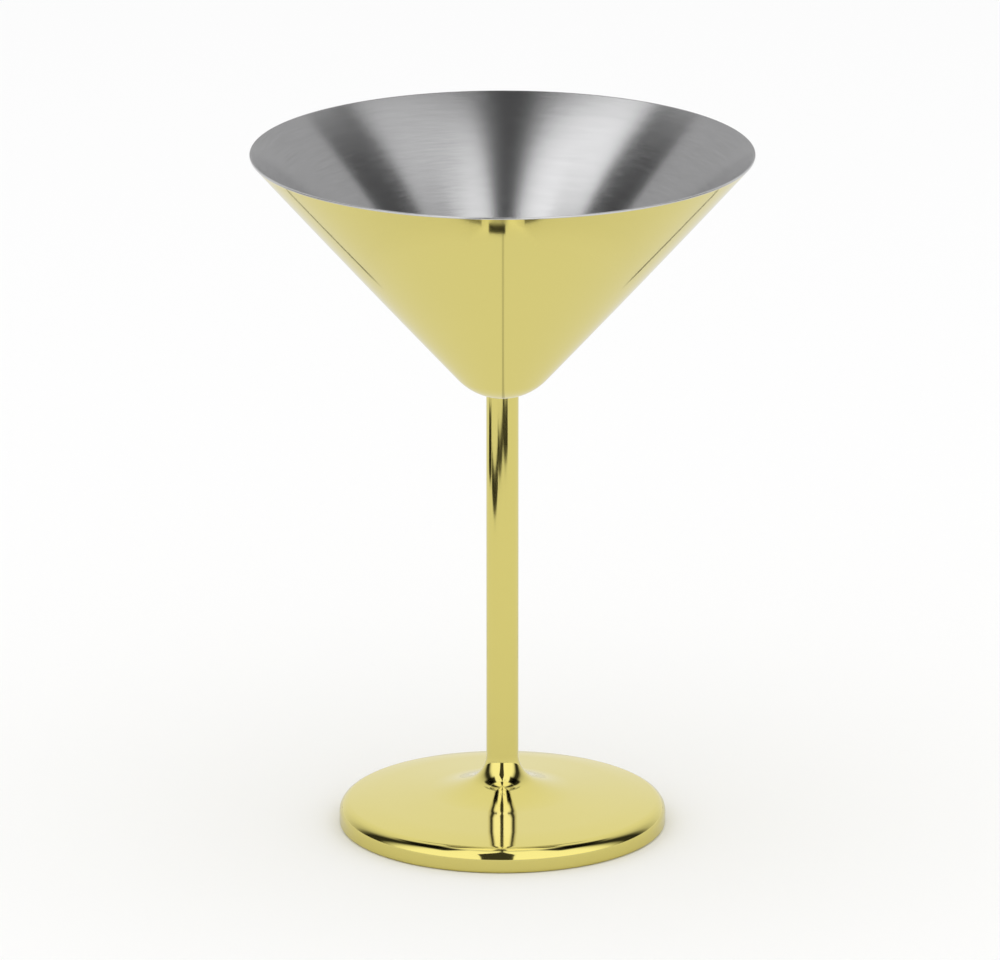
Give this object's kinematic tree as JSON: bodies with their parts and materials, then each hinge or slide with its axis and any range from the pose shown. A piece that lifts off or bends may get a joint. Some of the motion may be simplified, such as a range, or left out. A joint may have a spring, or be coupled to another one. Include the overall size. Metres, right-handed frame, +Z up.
{
  "type": "martini glass",
  "caption": "Stainless steel martini glass: wide conical bowl, gold-tone mirror outside and brushed steel inside, on a slim tubular stem and a round hollow foot.",
  "frame": {"origin": "on the table, under the centre of the foot", "axes": "+Z up along the stem; the glass is round about Z"},
  "size_m": [0.1148, 0.1148, 0.16],
  "materials": {
    "gold_steel": "polished",
    "brushed_steel": "satin",
    "plain_steel": "satin"
  },
  "bodies": {
    "root": {"bowl": "gold_steel", "bowl_stud": "plain_steel", "stem_tube": "gold_steel", "foot_spigot": "plain_steel", "foot_shell": "gold_steel", "base_plate": "gold_steel"}
  },
  "joints": []
}
